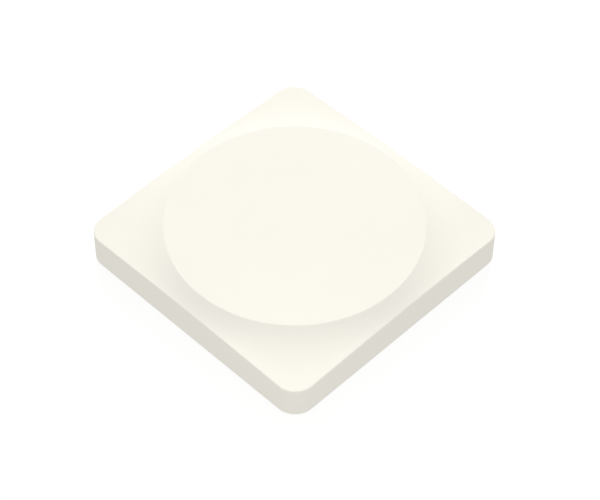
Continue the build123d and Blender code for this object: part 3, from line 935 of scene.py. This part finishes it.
def cut_once(mesh, cutter_mesh):
    """Cut one mesh out of another and give back the result as a plain mesh."""
    body = bpy.data.objects.new("cut_body", mesh)
    tool = bpy.data.objects.new("cut_tool", cutter_mesh)
    for item in (body, tool):
        scene.collection.objects.link(item)
    cut = body.modifiers.new("cut", "BOOLEAN")
    cut.operation = "DIFFERENCE"
    cut.solver = "EXACT"
    cut.use_self = True
    cut.object = tool
    graph = bpy.context.evaluated_depsgraph_get()
    result = bpy.data.meshes.new_from_object(body.evaluated_get(graph))
    bpy.data.objects.remove(body)
    bpy.data.objects.remove(tool)
    return result


uncut_screw = lathe_mesh("screw", screw_section(), spokes=32)
close_up(uncut_screw)
screws = run_rule(
    "pan_head_screws",
    circle_rule,
    cut_once(uncut_screw, cross_cutter()),
    Circle_Radius=screw_circle * MM,
    Start_Angle=pi / 4,
    Height=0.0,
    Count=4,
    Material=finishes["plated_steel"],
)
settle(screws, "base", "plated_steel", "board_screws")

# %% [markdown]
# ## Return springs
#
# Four coil springs hold the cap up and level. A spring is a spiral with a round section, so its rule
# is Blender's own spiral, with a circle drawn along it.

# %% The rule of a coil spring
spring_rule, given, spring_end = new_rule(
    "coil_spring", ("Coil Radius", "Wire Radius", "Climb", "Turns", "Place X", "Place Y", "Start Height")
)
spiral = add_node(
    spring_rule,
    "GeometryNodeCurveSpiral",
    Resolution=28,
    Rotations=given["Turns"],
    Start_Radius=given["Coil Radius"],
    End_Radius=given["Coil Radius"],
    Height=given["Climb"],
)
wire = add_node(spring_rule, "GeometryNodeCurvePrimitiveCircle", Resolution=12, Radius=given["Wire Radius"])
tube = add_node(
    spring_rule,
    "GeometryNodeCurveToMesh",
    Curve=spiral.outputs[0],
    Profile_Curve=wire.outputs[0],
    Fill_Caps=True,
)
seat = add_node(
    spring_rule, "ShaderNodeCombineXYZ", X=given["Place X"], Y=given["Place Y"], Z=given["Start Height"]
)
seated = add_node(
    spring_rule, "GeometryNodeTransform", Geometry=tube.outputs[0], Translation=seat.outputs[0]
)
finish_rule(spring_rule, seated.outputs[0], given["Material"], spring_end)

# %% Wind the four springs
spring_seat_height = 3.4
spring_top = 6.2
spring_radius = 1.85
spring_wire = 0.2
spring_clear = 0.02
spring_turns = 4.0
post_offset = 21.5
spring_spots = {
    "left_front": (-1, -1), "left_rear": (-1, 1), "right_front": (1, -1), "right_rear": (1, 1),
}
empty_mesh = bpy.data.meshes.new("nothing")
for corner, (x, y) in spring_spots.items():
    spring = run_rule(
        f"coil_spring_{corner}",
        spring_rule,
        empty_mesh,
        Coil_Radius=spring_radius * MM,
        Wire_Radius=spring_wire * MM,
        Climb=(spring_top - spring_seat_height - 2 * (spring_wire + spring_clear)) * MM,
        Turns=spring_turns,
        Place_X=x * post_offset * MM,
        Place_Y=y * post_offset * MM,
        Start_Height=(spring_seat_height + spring_wire + spring_clear) * MM,
        Material=finishes["spring_steel"],
    )
    settle(spring, "base", "spring_steel", f"return_spring_{corner}")
    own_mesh(spring)

# %% [markdown]
# ## The snap dome
#
# Inside the switch a thin steel dome clicks flat when the plunger comes down on it. It is part of
# a sphere, turned here from an arc, and it flattens towards the switch's floor.

# %% Press the dome
dome_floor = 6.8
dome_height = 0.58
dome_rim = 1.9
dome_sheet = 0.08


def dome_section(steps=16):
    """Outer arc from the top to the rim, then the inner arc back."""
    sphere = (dome_rim**2 + dome_height**2) / (2 * dome_height)
    centre = dome_floor + dome_height - sphere
    made = []
    for radius, order in ((sphere, 1), (sphere - dome_sheet, -1)):
        widest = atan2(sqrt(radius**2 - (dome_floor - centre) ** 2), dome_floor - centre)
        angles = [widest * step / steps for step in range(steps + 1)]
        arc = [(radius * sin(angle), centre + radius * cos(angle), 0) for angle in angles]
        made += arc[::order]
    return made


dome = turned("snap_dome", dome_section(), "spring_steel", spokes=48)
settle(dome, "base", "spring_steel", "switch_dome")
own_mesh(dome)

# %% [markdown]
# ## Chips on the board
#
# The six capacitors and six resistors are chips a millimetre long: a ceramic body with tinned
# ends, each end wetted by a small slope of solder. They stand in rows and columns, which is
# a rule too. The bodies and the ends differ in finish, so each kind is its own piece.

# %% The rule of copies on a grid
grid_rule, given, grid_end = new_rule(
    "copies_on_a_grid", ("Column Step", "Row Step", "Place X", "Place Y", "Height"), ("Columns", "Rows")
)


def span(step, count):
    """How wide a row of so many copies is."""
    gaps = work_out(grid_rule, "SUBTRACT", given[count], 1.0)
    return work_out(grid_rule, "MULTIPLY", given[step], gaps)


spots = add_node(
    grid_rule,
    "GeometryNodeMeshGrid",
    Size_X=span("Column Step", "Columns"),
    Size_Y=span("Row Step", "Rows"),
    Vertices_X=given["Columns"],
    Vertices_Y=given["Rows"],
)
middle = add_node(
    grid_rule, "ShaderNodeCombineXYZ", X=given["Place X"], Y=given["Place Y"], Z=given["Height"]
)
stand_copies(grid_rule, given, grid_end, spots.outputs[0], Translation=middle.outputs[0])


# %% Bodies, tinned ends and solder
def soft_blocks(name, blocks, edge=0.04, segments=2):
    """Blocks with rounded edges in one mesh, each given by its middle, size and lowest level."""
    made = bmesh.new()
    for (x, y), (wide, deep, high), bottom in blocks:
        block = bmesh.new()
        bmesh.ops.create_cube(block, size=1.0)
        for vert in block.verts:
            spot = Vector((vert.co.x * wide + x, vert.co.y * deep + y, (vert.co.z + 0.5) * high + bottom))
            vert.co = spot * MM
        bmesh.ops.bevel(
            block, geom=block.edges[:], offset=edge * MM, segments=segments, profile=0.5, affect="EDGES"
        )
        part = bpy.data.meshes.new("part")
        block.to_mesh(part)
        block.free()
        made.from_mesh(part)
        bpy.data.meshes.remove(part)
    mesh = bpy.data.meshes.new(name)
    made.to_mesh(mesh)
    made.free()
    return mesh


def add_solder(mesh, wedges):
    """Add slopes of solder: each from a chip's end out to the board, in the XZ plane."""
    made = bmesh.new()
    made.from_mesh(mesh)
    for inner, outer, deep, high in wedges:
        section = [(inner, 0), (outer, 0), (inner + (outer - inner) * 0.35, high * 0.3), (inner, high)]
        sides = []
        for y in (-deep / 2, deep / 2):
            sides.append([made.verts.new(Vector((x, y, z)) * MM) for x, z in section])
        made.faces.new(sides[0])
        made.faces.new(sides[1][::-1])
        for index in range(len(section)):
            following = (index + 1) % len(section)
            made.faces.new((sides[0][following], sides[0][index], sides[1][index], sides[1][following]))
    bmesh.ops.recalc_face_normals(made, faces=made.faces)
    made.to_mesh(mesh)
    made.free()


body_size = (0.62, 0.48, 0.43)
body_lift = 0.01
end_size = (0.2, 0.5, 0.45)
end_place = 0.4
solder_inner = 0.49
solder_outer = 0.72
solder_depth = 0.44
solder_height = 0.3
both_ways = (-1, 1)
chip_body = soft_blocks("chip_body", [((0, 0), body_size, body_lift)])
chip_ends = soft_blocks("chip_ends", [((way * end_place, 0), end_size, 0) for way in both_ways])
add_solder(
    chip_ends, [(way * solder_inner, way * solder_outer, solder_depth, solder_height) for way in both_ways]
)
print("a chip's body and its ends have", len(chip_body.polygons), "and", len(chip_ends.polygons), "faces")

# %% Stand the chips on the board
chip_groups = {
    "capacitor": ((-9.6, 5.2), "capacitor_ceramic", "capacitors"),
    "resistor": ((9.8, -5.4), "chip_epoxy", "resistors"),
}
for kind, ((x, y), finish, node) in chip_groups.items():
    parts = (("bodies", chip_body, finish, (node,)), ("ends", chip_ends, "tinned_metal", ()))
    for part, mesh, slot, nodes in parts:
        group = run_rule(
            f"{kind}_{part}",
            grid_rule,
            mesh,
            Column_Step=2.1 * MM,
            Row_Step=1.4 * MM,
            Place_X=x * MM,
            Place_Y=y * MM,
            Height=board_top * MM,
            Columns=2,
            Rows=3,
            Material=finishes[slot],
        )
        settle(group, "base", slot, *nodes)

# %% [markdown]
# ## The board's edge
#
# A radio board is fenced with a row of small plated holes, which ties its two ground layers
# together. Each is a flat ring of tin, slightly domed by the solder mask's opening. The rule of
# copies on a circle lays sixty of them round the edge.

# %% Lay the ring of plated holes
via_circle = 21.8
via_start = radians(3)
via_count = 60
via_section = ((0.16, 0.0, 0), (0.34, 0.0, 0), (0.31, 0.035, 0.01), (0.19, 0.035, 0.01))
vias = run_rule(
    "plated_holes",
    circle_rule,
    lathe_mesh("plated_hole", via_section, spokes=14, loop=True, steps=1),
    Circle_Radius=via_circle * MM,
    Start_Angle=via_start,
    Height=board_top * MM,
    Count=via_count,
    Material=finishes["tinned_metal"],
)
settle(vias, "base", "tinned_metal")

# %% [markdown]
# ## Board laminate and eroded plastic
#
# Two kinds of finish are left. The board is glass cloth under green solder mask, and the copper
# tracks below the mask show as slightly paler, raised lines. The housing and the door come out of
# a spark-eroded mould, so they have a coarser, sandier grain than the soft-touch cap.

# %% Mix the last finishes
def laminate(name, colour):
    """Green solder mask over copper tracks and glass cloth."""
    cloth_mm = 0.35
    relief_mm = 0.02
    material, tree, place = new_material(name)
    tracks = add_node(
        tree,
        "ShaderNodeTexBrick",
        Vector=place,
        Scale=1 / MM,
        Mortar_Size=0.1,
        Mortar_Smooth=0.3,
        Brick_Width=3.7,
        Row_Height=0.9,
    ).outputs["Fac"]
    cloth = drifting(tree, place, cloth_mm, stretch=(1, 3, 1))
    paler = work_out(tree, "ADD", tracks, ranged(tree, cloth, 0.0, 0.25))
    raised = work_out(tree, "ADD", tracks, ranged(tree, cloth, 0.0, 0.2))
    principled(
        tree,
        Base_Color=tinted(tree, paler, colour, 1.0, 1.8),
        Roughness=0.28,
        Normal=bumped(tree, raised, relief_mm),
    )
    return material


def eroded(name, colour, roughness):
    """Plastic from a spark-eroded mould: sandy grain of two sizes and a slow drift."""
    pit_mm = 0.16
    sand_mm = 0.07
    flow_mm = 18.0
    relief_mm = 0.012
    material, tree, place = new_material(name)
    coarse = work_out(tree, "MULTIPLY", cells(tree, place, pit_mm), 0.6)
    sand = drifting(tree, place, sand_mm)
    grain = work_out(tree, "ADD", coarse, work_out(tree, "MULTIPLY", sand, 0.4))
    flow = ranged(tree, drifting(tree, place, flow_mm, stretch=(1, 0.4, 1)), 0.0, 1.0)
    principled(
        tree,
        Base_Color=tinted(tree, flow, colour, 0.97, 1.02),
        Roughness=ranged(tree, sand, roughness - 0.05, roughness + 0.05),
        Normal=bumped(tree, grain, relief_mm),
    )
    return material


housing_white = (0.70, 0.685, 0.62)
finishes["board_laminate"] = laminate("green_laminate", (0.006, 0.060, 0.022))
finishes["base_white"] = eroded("eroded_white", housing_white, 0.55)
finishes["door_white"] = eroded("eroded_door_white", housing_white, 0.52)
print(len(finishes), "finishes in all")

# %% [markdown]
# ## Finishes for what stays as the CAD made it
#
# The rest of the nodes are flat-sided mouldings and stampings whose solids already have the
# right shape. They keep their meshes, and each gets the finish of its material slot.

# %% Dress the nodes that stay
stood_for = {node for piece in bpy.data.objects for node in piece.get("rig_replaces", [])}
dressed = []
for part in frame["record"]["subparts"]:
    node = part["node"]
    if node in stood_for:
        continue
    solid = frame["nodes"][node]
    if not solid.material_slots:
        solid.data.materials.append(None)
    for material_slot in solid.material_slots:
        material_slot.material = finishes[part["material_slot"]]
    dressed.append(node)
print(len(dressed), "nodes dressed:", ", ".join(dressed))
